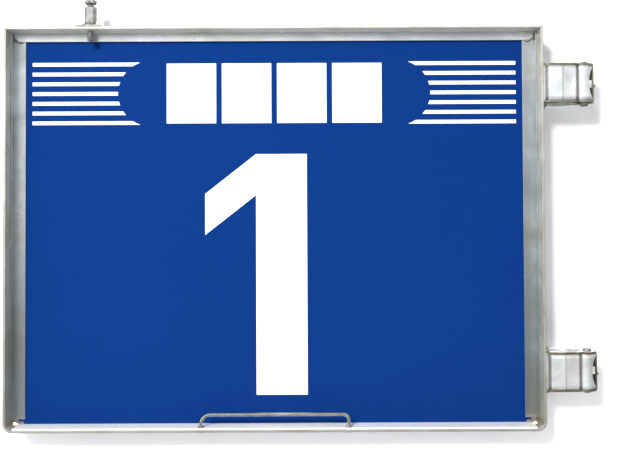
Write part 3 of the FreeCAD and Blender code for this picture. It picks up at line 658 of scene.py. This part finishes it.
def lay_painted_shade(piece, level):
    """Writes the painted shade attribute: full in the bend, crease and groove and on the parts behind,
    faint near both edges, where shade falls.
    """
    points = np.zeros(len(piece.data.vertices) * 3)
    piece.data.vertices.foreach_get("co", points)
    x, y, z = points.reshape(-1, 3).T
    z = np.abs(z - level)

    def strip(start, stop, soft):
        """One between two places along X, falling to nothing over the soft width."""
        return np.clip((x - start) / soft + 0.5, 0, 1) * np.clip((stop - x) / soft + 0.5, 0, 1)

    # Painted shade: each strip darkens the sheet where shade falls, in the bend, crease and groove,
    # near the ears and on the parts behind.
    bend = 0.85 * strip(-0.0292, -0.0250, 0.0015)
    crease = 0.42 * strip(-0.0052, -0.0040, 0.0009)
    groove = 0.78 * strip(0.0152, 0.0200, 0.0016)
    near_edges = 0.25 * np.clip((z - 0.0205) / 0.005, 0, 1)
    behind = 0.9 * (y > -0.012)
    painted_shade = bend + crease + groove + near_edges + behind
    mark = piece.data.attributes.new("painted_shade", "FLOAT", "POINT")
    mark.data.foreach_set("value", np.clip(painted_shade, 0, 1).astype(np.float32))


def ear_outline():
    """Plan of one ear: the sheet's line, the rim, the eye round the rivet and the pole's arc."""
    entry = np.array([-0.02104, 0.01215])
    line = pressed_line()[::6] + (0.0006, 0.0012)
    return np.concatenate([
        [[-0.0294, 0.0245]],
        line[1:],
        [[RIM_FACE, -0.0155], [RIM_FACE, -0.009], [0.0365, -0.0016], [0.0285, -0.0016]],
        arc((0, 0), POLE_RADIUS, -4, -210, 40),
        [entry, [-0.0140, 0.0243], [-0.0150, 0.0250]],
        arc((-0.0205, 0.0250), 0.0055, 0, 90, 8),
        [[-0.0294, 0.0305]],
    ])


def make_clamp(level_name, level):
    """Ears, pressed sheet, near-black walls of painted shade inside, rim with its dimple, and welds of
    one front half.
    """
    outline = ear_outline()
    ears = [prism(outline, "z", level + low, level + low + EAR_THICK)
            for low in (-HALF_TALL, HALF_TALL - EAR_THICK)]
    fit(soften(mesh_object(level_name + "_clamp_ears", *ears), 0.0008), "frame", ear_zinc,
        "pressed_steel")
    sheet = mesh_object(level_name + "_pressed_front", pressed_sheet(level), sharp=50)
    lay_painted_shade(sheet, level)
    fit(sheet, "frame", clamp_zinc, "pressed_steel", level_name + "_saddle")
    # Painted shade: near-black walls close the gaps beside the eye bolt and behind the bend, where
    # there is only shade.
    walls = [block((0.0392, -0.0100, level + low), (0.0440, -0.0088, level + high))
             for low, high in ((-0.0235, -0.0055), (0.0055, 0.0235))]
    walls.append(block((-0.0268, 0.0100, level - 0.0235), (-0.0258, 0.0240, level + 0.0235)))
    fit(mesh_object(level_name + "_clamp_shade_walls", *walls), "frame", shade_wall_dark, "pressed_steel")
    dome = turned([(0.0024, 0.0), (0.0023, 0.0010), (0.0016, 0.0022), (0.0, 0.0028)], "x",
                  (RIM_FACE, -0.0161, level - 0.0040), count=32)
    fit(mesh_object(level_name + "_rim_dimple", dome), "frame", ear_zinc, "pressed_steel")
    rim_profile = [[RIM_FACE - RIM_WALL, -0.0190], [RIM_FACE, -0.0186], [RIM_FACE, RIM_REAR],
                   [RIM_FACE - RIM_WALL, RIM_REAR]]
    rim = prism(rim_profile, "z", level - RIM_HALF_TALL, level + RIM_HALF_TALL)
    fit(soften(mesh_object(level_name + "_clamp_rim", rim), 0.0009), "frame", ear_zinc,
        "pressed_steel")
    x = right + 0.0008
    beads = []
    for side in (-1, 1):
        end = level + side * (HALF_TALL - 0.001)
        beads.append(bead((x - 0.0004, -0.0165, end + side * 0.0030),
                          (x + 0.0052, -0.0150, end), 0.0021, side))
        beads.append(bead((x, -0.0150, end), (x, 0.0150, end), 0.0018, 2 * side))
    fit(mesh_object(level_name + "_clamp_welds", *beads), "frame", weld_zinc, "pressed_steel")


LEVELS = {name: (span(name + "_saddle")[0][2] + span(name + "_saddle")[1][2]) / 2
          for name in ("lower", "upper")}
for level_name, level in LEVELS.items():
    make_clamp(level_name, level)

# ---------------------------------------------------------------- clamp pins, lids, bolts, nuts
# A rivet and a hinge pin with chamfered heads run down each clamp.  The lid swings on the pin,
# and an eye bolt on the rivet swings into the lid's slot, where a flanged nut draws it shut.
bolt_zinc = plated("bolt_zinc", (0.70, 0.71, 0.70), (0.42, 0.43, 0.43), (0.50, 0.40, 0.20),
                   patches=110.0, tinting=0.4)
EYE_RADIUS = 0.0065
EYE_BORE = 0.00455
SWING_RADIUS = 0.0040
NUT_BORE = 0.0041
NUT_FLATS = 0.013
FLANGE = 0.0080


def headed_pin(name, node, shaft, head):
    """Pin along Z with a chamfered head at each end, as long as its node."""
    low, high = span(node)
    x, y = (low[0] + high[0]) / 2, (low[1] + high[1]) / 2
    half = [(0.0, 0.0), (head * 0.68, 0.0), (head * 0.94, 0.0012), (head, 0.0022),
            (head, 0.0040), (shaft, 0.0040)]
    profile = [(radius, low[2] + rise) for radius, rise in half]
    profile += [(radius, high[2] - rise) for radius, rise in half[::-1]]
    fit(mesh_object(name, turned(profile, "z", (x, y, 0), count=48)), "frame", bolt_zinc,
        "plated_fastener", node)


for level_name, level in LEVELS.items():
    headed_pin(level_name + "_rivet_pin", level_name + "_rivet", 0.0045, 0.0062)
    headed_pin(level_name + "_hinge_rod", level_name + "_hinge_pin", 0.0030, 0.0045)
    dress(level_name + "_lid", clamp_zinc, 0.0004)
    eye_low, eye_high = span(level_name + "_swing_bolt")
    eye_x, eye_y = (eye_low[0] + eye_high[0]) / 2, eye_low[1] + EYE_RADIUS
    bolt_line = (eye_x, 0, level)
    tube = [(EYE_BORE, eye_low[2]), (0.0060, eye_low[2]), (EYE_RADIUS, eye_low[2] + 0.0005),
            (EYE_RADIUS, eye_high[2] - 0.0005), (0.0060, eye_high[2]), (EYE_BORE, eye_high[2]),
            (EYE_BORE, eye_low[2])]
    eye_bolt = mesh_object(
        level_name + "_eye_bolt",
        turned(tube, "z", (eye_x, eye_y, 0), count=48),
        thread(SWING_RADIUS, 0.0006, 0.00125, eye_y + 0.0052, eye_high[1], "y", bolt_line))
    fit(eye_bolt, level_name + "_swing_bolt", bolt_zinc, "plated_fastener",
        level_name + "_swing_bolt")
    ring_low, ring_high = span(level_name + "_washer")
    ring = turned([(NUT_BORE, ring_low[1]), (0.0078, ring_low[1]), (FLANGE, ring_low[1] + 0.0003),
                   (FLANGE, ring_high[1] - 0.0003), (0.0078, ring_high[1]), (NUT_BORE, ring_high[1]),
                   (NUT_BORE, ring_low[1])], "y", bolt_line)
    fit(mesh_object(level_name + "_flat_washer", ring), level_name + "_nut", bolt_zinc,
        "plated_fastener", level_name + "_washer")
    hex_low, hex_high = span(level_name + "_nut")
    collar = turned([(NUT_BORE, hex_low[1]), (0.0078, hex_low[1]), (FLANGE, hex_low[1] + 0.0005),
                     (0.0068, hex_low[1] + 0.0017), (NUT_BORE, hex_low[1] + 0.0017)], "y", bolt_line)
    hexagon = hex_nut(NUT_FLATS, NUT_BORE, hex_low[1] + 0.0008, hex_high[1], "y", bolt_line)
    fit(mesh_object(level_name + "_flanged_nut", collar, hexagon), level_name + "_nut", bolt_zinc,
        "plated_fastener", level_name + "_nut")

# ---------------------------------------------------------------- floor, backdrop, light, camera
# A pale floor, a white card close behind the sign that takes its soft shadow, wide soft lights
# and a camera square to the board.  The card lets light and sight through from behind.
FLOOR_LEVEL = -0.95
CARD_PLACE = 0.046
KEY_POWER = 112
FILL_POWER = 60
EYE_DISTANCE = 1.30


def sheet_at(name, corners, colour, one_sided):
    """Flat stage sheet from four corners; one_sided makes it clear when seen from behind."""
    piece = mesh_object(name, (corners, [[0, 1, 2, 3]]))
    material = bpy.data.materials.new(name)
    material.use_nodes = True
    add, link = group_nodes(material.node_tree)
    shader = material.node_tree.nodes["Principled BSDF"]
    shader.inputs["Base Color"].default_value = (*colour, 1)
    shader.inputs["Roughness"].default_value = 0.9
    shader.inputs["Specular IOR Level"].default_value = 0.0
    if one_sided:
        clear = add("ShaderNodeBsdfTransparent")
        facing = add("ShaderNodeNewGeometry")
        choose = add("ShaderNodeMixShader")
        link(facing.outputs["Backfacing"], choose.inputs[0])
        link(shader.outputs[0], choose.inputs[1])
        link(clear.outputs[0], choose.inputs[2])
        link(choose.outputs[0], material.node_tree.nodes["Material Output"].inputs["Surface"])
        piece.visible_shadow = False
    piece.visible_glossy = False
    piece.data.materials.append(material)
    return piece


sheet_at("floor", [(-3, -2.2, FLOOR_LEVEL), (3, -2.2, FLOOR_LEVEL), (3, 3, FLOOR_LEVEL),
                   (-3, 3, FLOOR_LEVEL)], (0.85, 0.85, 0.85), False)
sheet_at("card", [(-2.2, CARD_PLACE, FLOOR_LEVEL), (1.5, CARD_PLACE, FLOOR_LEVEL),
                  (1.5, CARD_PLACE, 1.6), (-2.2, CARD_PLACE, 1.6)], (0.96, 0.96, 0.96), True)


def softbox(name, place, target, size, power):
    """Square area light at place that faces target."""
    lamp = bpy.data.lights.new(name, "AREA")
    lamp.size = size
    lamp.energy = power
    holder = bpy.data.objects.new(name, lamp)
    bpy.context.collection.objects.link(holder)
    holder.location = place
    aim = np.array(target) - np.array(place)
    holder.rotation_euler = Vector(aim).to_track_quat("-Z", "Y").to_euler()
    return holder


middle = (np.array([left, front, bottom]) + np.array([right, rear, top])) / 2
key = softbox("key", (middle[0] - 0.95, -2.6, middle[2] + 1.25), middle, 0.55,
              KEY_POWER)
key.visible_glossy = False
softbox("fill_behind", (middle[0] + 0.6, 2.2, middle[2] + 1.2), middle, 1.6,
        FILL_POWER)

world = bpy.data.worlds.new("studio")
bpy.context.scene.world = world
world.use_nodes = True
add, link = group_nodes(world.node_tree)
where = add("ShaderNodeTexCoord")
split = add("ShaderNodeSeparateXYZ")
link(where.outputs["Generated"], split.inputs[0])
factors = []
for axis, near, far, at_near, at_far in (("X", -0.30, 0.28, 1.12, 0.52),
                                         ("Z", 0.42, 0.75, 1.0, 0.45),
                                         ("Y", 0.05, 0.55, 1.0, 0.32)):
    fade = add("ShaderNodeMapRange", in_From_Min=near, in_From_Max=far, in_To_Min=at_near,
               in_To_Max=at_far)
    link(split.outputs[axis], fade.inputs["Value"])
    factors.append(fade)
climb = add("ShaderNodeMapRange", in_From_Min=-0.11, in_From_Max=0.15, in_To_Min=0.0, in_To_Max=1.0)
climb.interpolation_type = "SMOOTHSTEP"
link(split.outputs["Z"], climb.inputs["Value"])
sky = add("ShaderNodeMix", data_type="RGBA")
sky.inputs[6].default_value = (0.24, 0.275, 0.265, 1)
sky.inputs[7].default_value = (1.42, 1.45, 1.48, 1)
link(climb.outputs["Result"], sky.inputs[0])
shaded = sky.outputs[2]
for fade in factors:
    scaled = add("ShaderNodeVectorMath", operation="SCALE")
    link(shaded, scaled.inputs[0])
    link(fade.outputs["Result"], scaled.inputs["Scale"])
    shaded = scaled.outputs["Vector"]
link(shaded, world.node_tree.nodes["Background"].inputs["Color"])
world.node_tree.nodes["Background"].inputs["Strength"].default_value = 1.0
bpy.context.scene.view_settings.view_transform = "Standard"

camera = bpy.data.objects.new("camera", bpy.data.cameras.new("camera"))
bpy.context.collection.objects.link(camera)
camera.data.sensor_width = 36
camera.data.lens = 51.2
camera.location = (-0.395, front - EYE_DISTANCE, 0.215)
camera.rotation_euler = (math.radians(90 + 1.283), math.radians(0.246), 0)
camera.data.shift_x = 0.0197
camera.data.shift_y = -0.0324
bpy.context.scene.camera = camera
